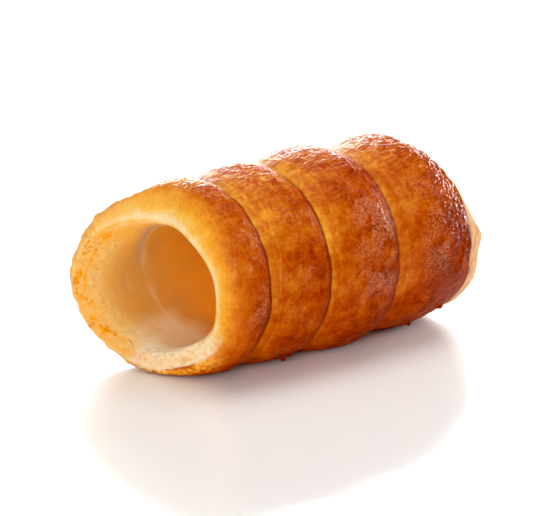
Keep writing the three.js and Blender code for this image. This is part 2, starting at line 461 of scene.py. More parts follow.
def lip_grid(start, inward, lip, funnel_rows):
    """Rows from the strip's border over the lip and down its funnel to the bore."""
    over = LIP_BORDER * np.linspace(1, 0, LIP_ROWS + 1)[None, :] ** LIP_CROWDING
    lip_x = start + inward * over * lip["length"]
    rounded = place_outside(lip_x, ring, crown_radius(lip_x))
    step = np.linspace(0, 1, funnel_rows + 1)[None, 1:] ** FUNNEL_CROWDING
    fall = mix(1 - lip_rise(step), (1 - step) ** FUNNEL_HOLLOW, lip["torn"])
    funnel_x = start + inward * step * lip["funnel"]
    radius = BORE_RADIUS + (lip["radius"] - BORE_RADIUS) * fall
    return np.concatenate([rounded, place_on_ring(funnel_x, ring, radius, BORE_HEIGHT)], axis=1)


mouth_grid = lip_grid(mouth, 1, mouth_lip(ring), FUNNEL_ROWS)
end_grid = lip_grid(end, -1, END_LIP, END_FUNNEL_ROWS)[:, ::-1]
down_bore = np.linspace(0, 1, BORE_ROWS + 1)[None, 1:-1] ** BORE_CROWDING
bore_x = mix(mouth_grid[:, -1:, 0], end_grid[:, :1, 0], down_bore)
bore_grid = place_on_ring(bore_x, ring, BORE_RADIUS + 0 * bore_x, BORE_HEIGHT)
lining_points = np.concatenate([mouth_grid, bore_grid, end_grid], axis=1)
print("the lining has", lining_points.shape[0] * lining_points.shape[1], "points")

# %% [markdown]
# ## Welding the grids
#
# The real crust is one skin, so the two grids become one mesh. Blender can merge points by distance, but the marks
# made later need to know which points were kept, so the weld is done here: points that round to the same place
# become one, and triangles that have shrunk to nothing go. Each triangle also gets the number of the group that it
# will be cut out with: its turn of the strip, or one of three for the lining.

# %% Weld and split into triangles
WELD = 1e-3
KEY_SPAN = 200_000  # more welds than the crust is long, wide or high
LIP_GROUP, BORE_GROUP, END_GROUP = 100, 101, 102
FRONT_ROWS = 50  # how many rows of the lining go with the mouth


def grid_faces(rows, cols, first_index, flip):
    """The four corners of each face of a grid, numbered from first_index."""
    index = first_index + np.arange(rows * cols).reshape(rows, cols)
    quad = np.stack([index[:-1, :-1], index[:-1, 1:], index[1:, 1:], index[1:, :-1]], axis=-1)
    return (quad[..., ::-1] if flip else quad).reshape(-1, 4)


strip_shape, lining_shape = strip_points.shape[:2], lining_points.shape[:2]
loose = np.concatenate([strip_points.reshape(-1, 3), lining_points.reshape(-1, 3)])
lining_start = strip_shape[0] * strip_shape[1]
quads = np.concatenate([grid_faces(*strip_shape, 0, False), grid_faces(*lining_shape, lining_start, True)])

row_groups = np.full(lining_shape[1] - 1, BORE_GROUP)
row_groups[:FRONT_ROWS] = LIP_GROUP
row_groups[-(LIP_ROWS + END_FUNNEL_ROWS) :] = END_GROUP
strip_groups = np.repeat(strip_turn[:-1], strip_shape[1] - 1)
groups = np.concatenate([strip_groups, np.tile(row_groups, lining_shape[0] - 1)])

keys = np.round(loose / WELD).astype(np.int64) + [KEY_SPAN, KEY_SPAN // 2, KEY_SPAN // 2]
code = (keys[:, 0] * KEY_SPAN + keys[:, 1]) * KEY_SPAN + keys[:, 2]
_, kept, renamed = np.unique(code, return_index=True, return_inverse=True)
base = loose[kept]

corners = renamed[quads]
triangles = np.concatenate([corners[:, [0, 1, 2]], corners[:, [0, 2, 3]]])
groups = np.concatenate([groups, groups])
shrunk = (triangles == np.roll(triangles, 1, axis=1)).any(axis=1)
triangles, groups = triangles[~shrunk], groups[~shrunk]
print(len(base), "points and", len(triangles), "triangles")

# %% [markdown]
# ## Smooth shading across the joints
#
# Smooth shading needs the slope of the crust at every point. Blender works it out for each object alone, and then
# a line shows wherever two pieces meet. Here the normals come from the welded skin, before it is cut up, and every
# piece is given its share of them. The relief is also pushed out along them.


# %% Normals of the whole skin
def vertex_normals(points):
    """Each point's normal, from the triangles round it weighted by their size."""
    a, b, c = (points[triangles[:, k]] for k in range(3))
    face = np.cross(b - a, c - a)
    total = np.zeros_like(points)
    for axis in range(3):
        for k in range(3):
            total[:, axis] += np.bincount(triangles[:, k], face[:, axis], len(points))
    return total / np.maximum(np.linalg.norm(total, axis=1, keepdims=True), 1e-12)


normals = vertex_normals(base)
print("normals on", len(normals), "points")

# %% [markdown]
# ## What each point knows
#
# Relief and browning depend on where a point is: how far round, how far across its turn, whether it is on the
# glazed outside, on torn crumb, or on the wall that baked against the metal. Masks could be painted by hand, but
# these follow from the grids. Each is a number for every point, and most run from 0 to 1.

# %% Marks from the two grids
FIRST, SECOND, THIRD, FOURTH, TAIL = 1, 2, 3, 4, 5  # the turns that show, counted from the mouth

lining_blank = np.zeros(lining_shape)
row_number = np.arange(lining_shape[1])[None, :] + lining_blank
rows_from_end = lining_shape[1] - 1 - row_number
in_mouth_funnel = np.clip((row_number - LIP_ROWS) / FUNNEL_ROWS, 0, 1)
in_end_funnel = np.clip((rows_from_end - LIP_ROWS) / END_FUNNEL_ROWS, 0, 1)
at_mouth = (row_number <= LIP_ROWS + FUNNEL_ROWS) * 1.0
at_end = (rows_from_end <= LIP_ROWS + END_FUNNEL_ROWS) * 1.0


def both(strip_values, lining_values):
    """One value for each welded point, from the strip's grid and the lining's."""
    strip_values = np.broadcast_to(strip_values, strip_shape)
    lining_values = np.broadcast_to(lining_values, lining_shape)
    return np.concatenate([strip_values.ravel(), lining_values.ravel()])[kept]


around = both(angle, ring)
wound = both(winding, ring)
turn = both(strip_turn[:, None], at_end * TAIL + at_mouth * FIRST)
share = both(strip_share, 0.5)
curl = both(strip_curl, 0)
relief = both(strip_relief, 0)
inside = both(0, np.minimum(in_mouth_funnel, in_end_funnel))
torn = mouth_lip(around)["torn"] * both(1, at_mouth)
print("marks on", len(around), "points")

# %% [markdown]
# ## Measures on the skin
#
# A few more numbers follow from the first ones: how high a point lies on the round of the tube, how far it is from
# the mouth and from the lap before it, and where it would lie if the strip were unrolled. Blender could unwrap the
# mesh for that, but the winding angle already tells it. Noise on the unrolled strip gives wrinkles that follow the
# dough, and a gentle warp keeps them from running too straight.

# %% Height, distance and the unrolled strip
UNROLLED_WARP, CRUST_WARP = 0.9, 0.8  # in millimetres

outside = falling(inside, 0, 0.2)
top = np.sin(np.radians(around))
along = base[:, 0] / END_PLACE
from_mouth = base[:, 0] - both(mouth_place(angle), mouth)
from_lap = base[:, 0] - both(left_edge, 0)
rise = lip_rise(from_mouth / mouth_lip(around)["length"]) * outside
upper = rising(top, 0.3, 0.45)
glazed = outside * rising(rise, 0.25, 0.6) * (turn < TAIL)
smooth_side = falling(share, 0.05, 0.45)

unrolled = np.stack([base[:, 0], np.radians(wound) * AXIS_HEIGHT, np.zeros(len(base))], axis=1)
warp = np.stack([noise(base, 3.4, pattern) for pattern in (50, 51, 52)], axis=1)
drawn = unrolled + UNROLLED_WARP * warp
warped = base + CRUST_WARP * warp
print("glaze covers", round(float(glazed.mean()) * 100), "% of the points")

# %% [markdown]
# ## Relief
#
# The skin of baked puff dough has lumps where it rose unevenly, blisters where steam lifted it, and the fine
# crinkles of dried egg glaze. A bump texture would only shade them. They are added to the shape instead, in layers
# of noise from large to small, and each layer's factor is its height in millimetres.

# %% Lumps, blisters and crinkles
lumps = 0.26 * noise(base, 9, 1) + 0.14 * noise(base, 4.6, 2)
blisters = 0.1 * noise(base, 2.3, 5) + 0.06 * noise(base, 1.2, 6)
crinkles = 0.06 * (ridges(base, 0.9, 7) - 0.5) + 0.03 * noise(base, 0.5, 10)
plain = 0.06 * noise(base, 2.6, 16) + 0.02 * noise(base, 0.8, 17)
print("the lumps run from", lumps.min().round(2), "to", lumps.max().round(2), "mm")

# %% [markdown]
# ## Wrinkles and stretch lines
#
# Wrinkles run across the top of each turn, and along its right edge they turn to follow the lap. The left of a turn
# rose late from under its neighbour, so it is smooth but for stretch lines and one pale line beside the lap. Noise
# with a different size along each axis, laid on the unrolled strip, draws all of these the right way round.

# %% Wrinkles, and the skin put together
WRINKLE_HEIGHT, STRETCH_HEIGHT, PALE_LINE_HEIGHT = 0.27, 0.06, 0.1
PALE_LINE_PLACE, PALE_LINE_SHIFT, PALE_LINE_WIDTH = 3.1, 1.6, 0.6  # from the lap; it lies further off at the top

edge_side = rising(share, 0.68, 0.2)
cross_wrinkles = ridges(drawn, (5, 0.95, 1), 8) - 0.5
edge_wrinkles = ridges(drawn, (1.1, 2.8, 1), 33) - 0.5
wrinkles = WRINKLE_HEIGHT * mix(cross_wrinkles, edge_wrinkles, edge_side)
far_flank = (turn == FOURTH) * rising(share, 0.5, 0.25) * rising(top, -0.35, 0.4)
crinkled = 0.35 + 0.65 * np.maximum(upper * (1 + 0.4 * (turn == FOURTH)), 2.6 * far_flank)

stretch = STRETCH_HEIGHT * noise(drawn, (0.9, 13, 1), 9) * smooth_side
middle_turn = np.isin(turn, (SECOND, THIRD, FOURTH))
line_place = PALE_LINE_PLACE + PALE_LINE_SHIFT * rising(top, 0.1, 0.8) + 0.3 * noise(unrolled, (50, 9, 1), 35)
pale_line = hill(from_lap - line_place, PALE_LINE_WIDTH) * middle_turn * rising(top, -0.85, 0.4)

calm_edge = 1 - 0.6 * rising(share, 0.93, 0.06)
fine = (blisters + (crinkles + wrinkles) * crinkled) * (1 - 0.65 * smooth_side) * calm_edge
fine = fine + stretch + PALE_LINE_HEIGHT * pale_line
push = outside * lumps + glazed * fine + (outside - glazed) * plain
print("the glazed relief runs from", push.min().round(2), "to", push.max().round(2), "mm")

# %% [markdown]
# ## Flakes and the tail
#
# Puff dough sheds thin flakes, and a few still cling underneath. Each could be an object of its own, but they have
# baked on to the crust, so each is a small hill on it. The strip's tail, at the far end, is drawn out in fine threads
# along the winding, and noise stretched that way draws them.

# %% Flakes underneath and threads on the tail
FLAKES = [  # place along the tube, angle, width, height, and how much browner
    (38.5, -61, 1.4, 1.3, 1),
    (40, -58, 1, 0.6, 1),
    (79.5, -60, 1.1, 0.8, 1),
    (86.8, -47, 1.8, 0.9, -1),
]
MM_PER_DEGREE = 0.42  # along the crust's round
THREAD_HEIGHT = 0.07


def flake_hill(x, place, width):
    """A small round hill on the crust at a distance along it and an angle."""
    return hill(np.hypot(base[:, 0] - x, apart(around, place % FULL_TURN) * MM_PER_DEGREE), width)


flakes = sum(tall * flake_hill(x, place, width) for x, place, width, tall, _ in FLAKES)
tail_threads = noise(drawn, (0.5, 7, 1), 34)
push = push + flakes * outside
push = push + (turn >= TAIL) * outside * THREAD_HEIGHT * tail_threads
print(len(FLAKES), "flakes, the tallest", max(flake[3] for flake in FLAKES), "mm")

# %% [markdown]
# ## Tearing the rim
#
# Where the mouth is torn, and at the foot below it, the crumb shows: pale, rough and full of pores. The pores could
# be cut out one by one, but they are many and only half a millimetre deep. So noise sinks pits into the rim, in
# patches, and raises crumbs around them. The noise lies on the rim rolled out flat, so that it isn't stretched.

# %% Crumbs and pits
FOOT_ANGLE, FOOT_SPAN, FOOT_FADE = 281, 20, 22
RIM_RADIUS, RIM_STRETCH = 21, 1.5
RIM_REACH, LIP_REACH = 12, 14  # how far behind the mouth's ring the crumb and the lip's own colours may lie
PIT_DEPTH = 0.42

from_below = apart(around, FOOT_ANGLE)
rim_flat = np.stack([RIM_STRETCH * from_mouth, np.radians(around) * RIM_RADIUS, 0 * around], axis=1)
foot_zone = falling(from_below, FOOT_SPAN, FOOT_FADE) * (from_mouth < LIP_REACH)
rim_zone = np.maximum(torn, foot_zone) * falling(inside, 0.35, 0.4) * falling(rise, 0.6, 0.35)
rim_zone = rim_zone * (from_mouth < RIM_REACH)
rim_band = rim_zone * hill(inside - 0.2, 0.3)

pit_field = noise(rim_flat, (0.6, 0.85, 1), 11) + 0.4 * noise(rim_flat, (0.35, 0.5, 1), 12)
pit_patches = 0.25 + 0.75 * rising(noise(rim_flat, (2, 6, 1), 18), -0.2, 0.5)
pits = ease((pit_field - 0.1 - 0.35 * (1 - rim_band)) / 0.4) * pit_patches * rim_zone * (1 - 0.5 * foot_zone)
crumbs = 0.22 * noise(base, 2.2, 13) + 0.12 * noise(base, 1.1, 14) + 0.07 * noise(base, 0.55, 19)
push = push + rim_zone * crumbs * (1.15 + 0.5 * foot_zone) - PIT_DEPTH * pits
print("pits on", round(float((pits > 0.3).mean()) * 100, 1), "% of the points")

# %% [markdown]
# ## A corner, a slit and layers
#
# Three small things give the mouth its look. A corner of dough stands up behind. A slit with a raised edge runs
# beside the rim underneath, where a layer has lifted. And the foot shows the thin layers of the dough. They could be
# sculpted on the finished mesh, but then a change of size would leave them behind. So each is a hill or a trench
# that is laid along the marks and moves with them.

# %% Details of the mouth
CORNER_ANGLE, CORNER_WIDTH, CORNER_HEIGHT = 146, 6, 0.9
SLIT_ANGLE, SLIT_SPAN, SLIT_REACH = 288, 9, 5
SLIT_DEPTH, SLIT_EDGE_HEIGHT = 0.7, 0.2
LAYER_HEIGHT, LAYERS_END, LAYERS_FADE = 0.13, 3.5, 2.5

corner = hill(apart(around, CORNER_ANGLE), CORNER_WIDTH) * outside * falling(from_mouth, 1, 2)
push = push + CORNER_HEIGHT * corner

slit_run = falling(apart(around, SLIT_ANGLE), SLIT_SPAN, 3)
slit_line = rise - 0.5 - 0.05 * noise(rim_flat, 2.5, 20)
slit = hill(slit_line, 0.11) * slit_run * (from_mouth < SLIT_REACH)
slit_edge = hill(slit_line + 0.12, 0.1) * slit_run * (from_mouth < SLIT_REACH)
push = push - SLIT_DEPTH * slit + SLIT_EDGE_HEIGHT * slit_edge

layers = noise(base, (5, 5, 0.4), 26) * ease((LAYERS_END - base[:, 2]) / LAYERS_FADE)
layers = layers * (from_mouth < RIM_REACH) * outside
push = push + LAYER_HEIGHT * layers
print("the slit is", round(float(SLIT_DEPTH * slit.max()), 2), "mm deep")

# %% [markdown]
# ## The lap inside the mouth
#
# The dough's laps show inside as well, as a low step on the wall where the first turn ends. Beyond it the wall
# baked against the metal and is nearly smooth. Edges of their own in the mesh would be needed for a big step, but
# this one is a fifth of a millimetre, so the wall in front of it is just sunk along one eased line. The marks made
# here serve the colours later.

# %% Mark the lap inside
INNER_STEP, STEP_WIDTH = 0.22, 0.6
INNER_LAP = {"place": 14, "climb": 6.8, "start": 115, "width": 170}
LAP_RANGE = {"start": 60, "stop": 310, "ease_in": 20, "ease_out": 60}
LAP_REACH = 30
LIT_CEILING_RANGE = {"start": 60, "stop": 200, "ease_in": 25, "ease_out": 60}

climbed = rising(around % FULL_TURN, INNER_LAP["start"], INNER_LAP["width"])
beyond_lap = base[:, 0] - (INNER_LAP["place"] + INNER_LAP["climb"] * climbed)
in_front = within(LAP_RANGE, around % FULL_TURN) * rising(inside, 0.3, 0.3) * (from_mouth < LAP_REACH)
before_lap = falling(beyond_lap, 0, STEP_WIDTH) * in_front
lap_edge = hill(beyond_lap - 0.1, STEP_WIDTH) * in_front
# painted light: the band of ceiling just before the lap, facing the floor, is painted paler as the light thrown up
# from it
lit_ceiling_band = rising(beyond_lap, -4, 3.5) * before_lap * within(LIT_CEILING_RANGE, around % FULL_TURN)
push = push - INNER_STEP * before_lap + inside * 0.05 * noise(base, (9, 4, 4), 15)
print("relief runs from", push.min().round(2), "to", push.max().round(2), "mm")

# %% [markdown]
# ## Lying down
#
# The pastry rests on its side, and its own weight has flattened the foot of each turn. Cutting the crust off at the
# floor would leave a sharp edge. A soft floor bends the last two millimetres to lie flat instead. Then the crust is
# centred over the solid, and its normals are worked out afresh from the finished shape.

# %% Settle on the floor
SETTLING = 1


def settle(z):
    """The soft floor: a foot that would sink below it flattens on it."""
    soft = (z + SETTLING) ** 2 / (4 * SETTLING)
    return np.where(z >= SETTLING, z, np.where(z <= -SETTLING, 0, soft))


points = base + push[:, None] * normals
points[:, 2] = settle(points[:, 2])
shift = (LOW + HIGH) / 2 - (base.min(axis=0) + base.max(axis=0)) / 2
shift[2] = 0
points = points + shift
normals = vertex_normals(points)
print("moved by", shift.round(2), "mm")

# %% [markdown]
# ## Browning
#
# An oven browns what stands proud and what is thin, and leaves pale what is sheltered. So the left of each turn,
# which rose late from under its neighbour, stays golden, and the right of each turn and the far end brown the most.
# A picture of dough would have to be fitted round every lap. A number for each point is simpler: it runs from 0,
# pale, to 1, dark, and the material turns it into a colour. Each line below adds brown or takes it away.

# %% How brown each turn is
# Along this band the glaze is wet and shiny, and the crust's colour is also painted paler there as highlight.
WET_FRONT, WET_BACK = 112, 160  # the band of angles, just behind the top, where the glaze ran thickest

behind_top = np.cos(np.radians(np.maximum(WET_FRONT - around, 0) + np.maximum(around - WET_BACK, 0)))
across_turn = rising(share, 0.1, 0.75)
gold_band = falling(share, 0, 0.13)
gold_side = falling(share, 0, 0.5)
lap_rim = rising(share, 0.94, 0.06)
low_side = ease((0.25 - top) / 0.9)
# lap_rim darkens each turn's last edge by its lap: partly burnt dough, partly painted shade
browning = 0.525 + 0.1 * across_turn + 0.18 * along + 0.04 * low_side + 0.04 * lap_rim
browning = browning - 0.12 * gold_band - 0.1 * gold_side * rising(top, -0.6, 0.6) - 0.1 * pale_line
# Paler towards the top, and most in the band just behind it: painted highlight along the crests, standing in for the
# sheen of the lights.
browning = browning - (0.07 + 0.03 * (turn == FOURTH)) * rising(top, 0.1, 0.5) - 0.06 * rising(behind_top, 0.6, 0.3)
browning = browning + (turn == FOURTH) * (0.04 * gold_side - 0.05 * rising(behind_top, 0.75, 0.2))
browning = browning + (turn <= FIRST) * (0.05 * low_side - 0.07 * rising(behind_top, 0.8, 0.15))
browning = browning - 0.025 * (turn == SECOND) * across_turn
print("mean browning of the turns", browning.mean().round(2))

# %% [markdown]
# ## Streaks and mottles
#
# A brush leaves streaks in the egg glaze, and they show along the tops, where the glaze is thickest. They are
# glossier, and their colour is also painted paler, as highlight. Everywhere the brown is mottled, in patches from
# seven millimetres across down to less than one. A material's own noise could mottle it too, but noise on the
# points keeps step with the relief, so that what stands proud is also browner.

# %% Streaks and mottles
LIP_BROWNING = 0.46  # where the relief of the turns has died out

streaks = rising(ridges(drawn, (4.5, 0.8, 1), 61), 0.55, 0.25)
# painted highlight: paler along the wet streaks, as their glints, and browner between them
browning = browning - 0.14 * (streaks - 0.35) * rising(behind_top, 0.45, 0.3) * (1 - 0.5 * smooth_side)
browning = mix(LIP_BROWNING, browning, relief)

mottles = 0.08 * noise(warped, 7, 21) + 0.09 * noise(warped, 3.2, 22) + 0.075 * noise(warped, 1.3, 23)
mottles = mottles + 0.045 * noise(base, 0.7, 24) + 0.05 * noise(drawn, (0.8, 9, 1), 27)
browning = browning + mottles * (0.45 + 0.55 * relief) + 0.3 * (push.clip(-0.3, 0.3) * glazed)
print("mottles run from", mottles.min().round(2), "to", mottles.max().round(2))

# %% [markdown]
# ## Flecks of painted sheen
#
# On the flanks the glaze shines in small broken patches, most of all on the third and fourth turns. Their pale
# pinkish colour is painted sheen, standing in for the lights that they mirror; the material also makes them a little
# rougher and more reflective. Spread evenly they would look like sand, so this mark says where they gather: in the
# middle of a turn, between its top and its foot. Their fine grain is left to the material, because it is finer than
# the mesh.

# %% Where the flecks gather
# painted sheen: this mark says where the pale flecks that stand in for reflected light gather
sheen_field = 0.35 * noise(warped, 1.7, 53) + 0.55 * noise(base, 5, 56) + 0.3 * np.isin(turn, (THIRD, FOURTH))
sheen_flecks = rising(sheen_field, -0.25, 0.7)
mid_flank = ease((share - 0.4 + 0.15 * (turn > SECOND) + 0.1 * (turn == FOURTH)) / 0.25)
mid_flank = mid_flank * (1 - ease((share - 0.93 + 0.33 * (turn == FOURTH)) / (0.05 + 0.15 * (turn == FOURTH))))
sheen_zone = (0.35 - 0.15 * (turn == FOURTH) + 0.65 * mid_flank) * rising(top, -0.5, 0.45) * falling(top, 0.62, 0.25)
sheen_flecks = sheen_flecks * sheen_zone * glazed
print("flecks on", round(float((sheen_flecks > 0.3).mean()) * 100), "% of the points")

# %% [markdown]
# ## The lip and the foot
#
# The mouth's lip is thick and sheltered, so it stays pale at the rim and browns bit by bit away from it. The foot
# below the mouth is pale and speckled where it lay on the tray. Starting again with a second material would leave a
# border, so both are blended over the browning so far, each within its own zone.

# %% Pale lip and speckled foot
DARKEST, DARKEST_LIP = 0.82, 0.66
LIP_EXTENT, LIP_FADE = 12, 4
OVER_ROUNDING, PER_MM_BEHIND = 7.6, 0.75  # the way over the rounded lip, and the share of the way after it

near_top = rising(top, 0.5, 0.4)
from_rim = OVER_ROUNDING * rise + PER_MM_BEHIND * from_mouth.clip(0)
browning_per_mm = mix(mix(0.062, 0.05, rising(top, -0.7, 0.7)), 0.034, near_top)
lip_tone = mix(0.13, 0.1, near_top) + browning_per_mm * from_rim - 0.02 - 0.1 * falling(from_rim, 0, 2.2)
lip_share = ease((LIP_EXTENT - from_rim) / LIP_FADE) * (from_mouth < LIP_REACH)
browning = mix(browning, np.minimum(lip_tone, DARKEST_LIP) + 0.6 * mottles, lip_share)

foot_specks = rising(noise(base, 1.1, 28), -0.02, 0.3) * (0.4 + 0.6 * rising(rise, 0.2, 0.2))
foot_tone = 0.2 + 0.22 * foot_specks + 0.3 * rising(rise, 0.75, 0.2)
browning = mix(browning, foot_tone, foot_zone * falling(rise, 0.9, 0.1))
# painted shade in the slit and painted highlight on its raised edge; the layers are browner where they stand proud
browning = browning + 0.3 * slit - 0.2 * slit_edge + 0.14 * layers
for x, place, width, _, darker in FLAKES:
    browning = browning + 0.35 * darker * flake_hill(x, place, width) * outside
browning = np.clip(browning, 0, DARKEST)
print("mean browning", browning.mean().round(2))

# %% [markdown]
# ## Bare dough
#
# Two places show bare dough: the lower lip, which is the colour of cream, and the strip's tail at the far end, pale
# and drawn out in threads. Their colours aren't on the way from gold to brown, so each gets a mark of its own, and
# the material lays them over the rest. Along every lap, the cut edge is darker: partly burnt dough, and partly
# painted shade where the edge rounds away from the light.

# %% Cream, tail and cut edge
CREAM_ANGLE, CREAM_SPAN, CREAM_FADE = 300, 16, 20
TAIL_FADE = 1.5

cream_span = falling(apart(around, CREAM_ANGLE), CREAM_SPAN, CREAM_FADE)
cream_zone = np.maximum(foot_zone, cream_span * (from_mouth < LIP_REACH))
cream = cream_zone * falling(inside, 0.75, 0.25) * falling(rise, 0.4, 0.15) * (1 - 0.4 * foot_specks)
cream = cream * (0.8 + 0.35 * noise(base, 1.6, 36) + 0.3 * noise(base, 0.6, 37))

tail = (turn >= TAIL) * outside * (0.82 + 0.65 * tail_threads)
before_end = end_place(around) - base[:, 0]
tail = tail * (0.45 + 0.55 * ease(before_end / TAIL_FADE + 0.4 * noise(base, 2.2, 39)))

# the cut edge's dark line: partly burnt dough, partly painted shade where the edge turns away from the light
curl_burn_and_shade = np.maximum(curl, rising(share, 0.935, 0.035)) * relief * (1 - 0.35 * (turn == THIRD))
print("cream on", round(float((cream > 0.3).mean()) * 100, 1), "% of the points")

# %% [markdown]
# ## Shiny and dull glaze
#
# Egg glaze isn't equally shiny all over. It ran together along a wet ridge just behind the top, and lies in thin
# wet streaks before it. On the flanks it dried dull, and the broad edge beside each lap is matte. One roughness for
# the whole crust would look like varnish. So two marks are made: how glossy a point is, which lowers its
# roughness, and how dull it is, which lowers how much it reflects at all.

# %% How shiny each point is
calm_gloss = 1 - 0.5 * smooth_side * (turn > FIRST)
matte_edge = rising(share, 0.8, 0.12) * falling(top, 0.8, 0.12) * (turn < FOURTH)
wet_ridge = ease((behind_top - 0.9 + 0.1 * (turn <= FIRST)) / 0.06)
wet_streaks = streaks * rising(behind_top, 0.62, 0.2) * calm_gloss
wet_right = (turn == FOURTH) * rising(share, 0.6, 0.2) * rising(top, -0.1, 0.3)
shiny = np.maximum(np.maximum(wet_ridge, wet_streaks), wet_right)
shiny = np.maximum(shiny, 0.6 * np.clip(sheen_flecks, 0, 1))
dull = np.maximum(matte_edge, 1 - shiny)
underneath = ease((0.15 - top) / 0.5)
gloss = glazed * (1 - 0.4 * dull * upper) * calm_gloss * (1 - 0.6 * np.maximum(matte_edge, underneath))
print("wet glaze on", round(float((shiny * glazed > 0.5).mean()) * 100), "% of the points")

# %% [markdown]
# ## The wall inside
#
# Inside, the dough baked pale and even. It is palest low in the mouth and deepens down the bore, and the ceiling is
# warmer. The lap's edge and the band of ceiling just before it are painted paler: painted light, for what the small
# step catches and what the floor throws up onto the band. It could use the browning, but it never sees the glaze or
# the oven's full heat. So it has a tone of its own from 0 to 1, and each can be changed without touching the other.

# %% The tone of the wall inside
DEEPENING = 14  # over so many millimetres beyond the lap

deeper = ease(beyond_lap / DEEPENING)
ceiling = rising(top, 0.4, 0.3) * rising(inside, 0.02, 0.2)
inner_tone = 0.42 + 0.35 * deeper + 0.12 * noise(base, 6, 31) + 0.05 * noise(base, 1.8, 32)
# the ceiling band before the lap is painted paler: painted light
inner_tone = inner_tone - 0.48 * falling(from_below, 22, 55) * (1 - deeper) - 0.14 * lit_ceiling_band
# painted highlight: the lap's edge inside is paler, as the light that its small step catches
inner_tone = inner_tone - 0.14 * lap_edge * (1 - 0.7 * rising(top, 0.1, 0.5))
inner_tone = inner_tone + 0.05 * noise(rim_flat, (2.2, 9, 1), 38) + 0.16 * rising(top, 0.2, 0.5) * (1 - deeper)
inner_tone = inner_tone + 0.1 * ceiling * (1 - deeper)
print("mean tone inside", inner_tone[inside > 0].mean().round(2))

# %% [markdown]
# ## Gathering the marks
#
# A material reads numbers from a mesh by their names, so every mark that it needs gets a name here. Vertex colours
# could carry them too, three at a time, but a named number says what it is for. All but one are shares, and are
# kept between 0 and 1.

# %% The marks that the material reads
CONTACT_HEIGHT = 1.5

crumb_streaks = noise(rim_flat, (1.3, 4, 1), 29) + 0.4 * noise(base, 0.9, 30)
above_foot = 1 - foot_zone
shares = {
    "browning": browning,
    "sheen_flecks": sheen_flecks,
    "curl_burn_and_shade": curl_burn_and_shade,
    "gloss": gloss,
    "dull": np.maximum(dull, 1 - glazed),
    "crumb": rim_zone * above_foot * (0.8 + 0.35 * crumb_streaks) * (1 - 0.75 * ceiling),
    "rim_gold": rim_band * above_foot * (0.2 + 0.8 * rising(crumb_streaks, -0.1, 0.5)),
    "pits": pits,
    "inside": ease(inside / 0.4),
    "inner_tone": inner_tone,
    "lit_ceiling_band": lit_ceiling_band,
    "cream": cream,
    "tail": tail,
    "contact": ease((CONTACT_HEIGHT - points[:, 2]) / CONTACT_HEIGHT) * outside,
}
marks = {name: np.clip(values, 0, 1) for name, values in shares.items()}
marks["grainy"] = 0.6 + 1.1 * ease(share / 0.5) * along * relief
print(len(marks), "marks")

# %% [markdown]
# ## The pieces
#
# The welded crust is cut into pieces turn by turn, under the pastry where no one looks, so that each stays light
# enough to handle. Blender's operators could separate them by selection, but filling each mesh from the arrays is
# faster and exact. Every piece takes its share of the points, the marks, and the normals of the whole.


# %% Cut out a piece
def make_piece(name, chosen):
    """A mesh object of the chosen groups of triangles, with the marks as attributes."""
    part = triangles[np.isin(groups, chosen)]
    used, part = np.unique(part, return_inverse=True)
    part = part.reshape(-1, 3)
    mesh = bpy.data.meshes.new(name)
    mesh.vertices.add(len(used))
    mesh.vertices.foreach_set("co", (points[used] * MM).ravel())
    mesh.loops.add(part.size)
    mesh.loops.foreach_set("vertex_index", part.ravel().astype(np.int32))
    mesh.polygons.add(len(part))
    mesh.polygons.foreach_set("loop_start", np.arange(0, part.size, 3, dtype=np.int32))
    mesh.polygons.foreach_set("use_smooth", np.ones(len(part), dtype=bool))
    mesh.update()
    mesh.validate()
    mesh.normals_split_custom_set_from_vertices(normals[used])
    for mark, values in marks.items():
        layer = mesh.attributes.new(mark, "FLOAT", "POINT")
        layer.data.foreach_set("value", values[used].astype(np.float32))
    piece = bpy.data.objects.new(name, mesh)
    bpy.context.collection.objects.link(piece)
    print(name, len(part), "triangles")
    return piece


PIECES = {
    "mouth_turn": [-1, 0, FIRST, LIP_GROUP],  # the two turns before the first show only behind, beside the mouth
    "second_turn": [SECOND],
    "third_turn": [THIRD],
    "fourth_turn": [FOURTH],
    "tail_and_end_lip": [TAIL, END_GROUP],
    "bore_wall": [BORE_GROUP],
}
crust_pieces = [make_piece(name, chosen) for name, chosen in PIECES.items()]

# %% [markdown]
# ## Building materials with nodes
#
# A material is a graph of nodes. It could be drawn in the shader editor, but then it wouldn't be in this script, and
# written out in code each node takes three or four lines. This small class adds a node and links it in one line, so
# that the recipe for the dough reads like a list of steps.


# %% Small helpers for nodes
def colour(red, green, blue):
    """A screen colour of 0 to 255 as the linear colour that nodes take."""
    linear = []
    for value in (red, green, blue):
        v = value / 255
        linear.append(v / 12.92 if v <= 0.04045 else ((v + 0.055) / 1.055) ** 2.4)
    return (*linear, 1)


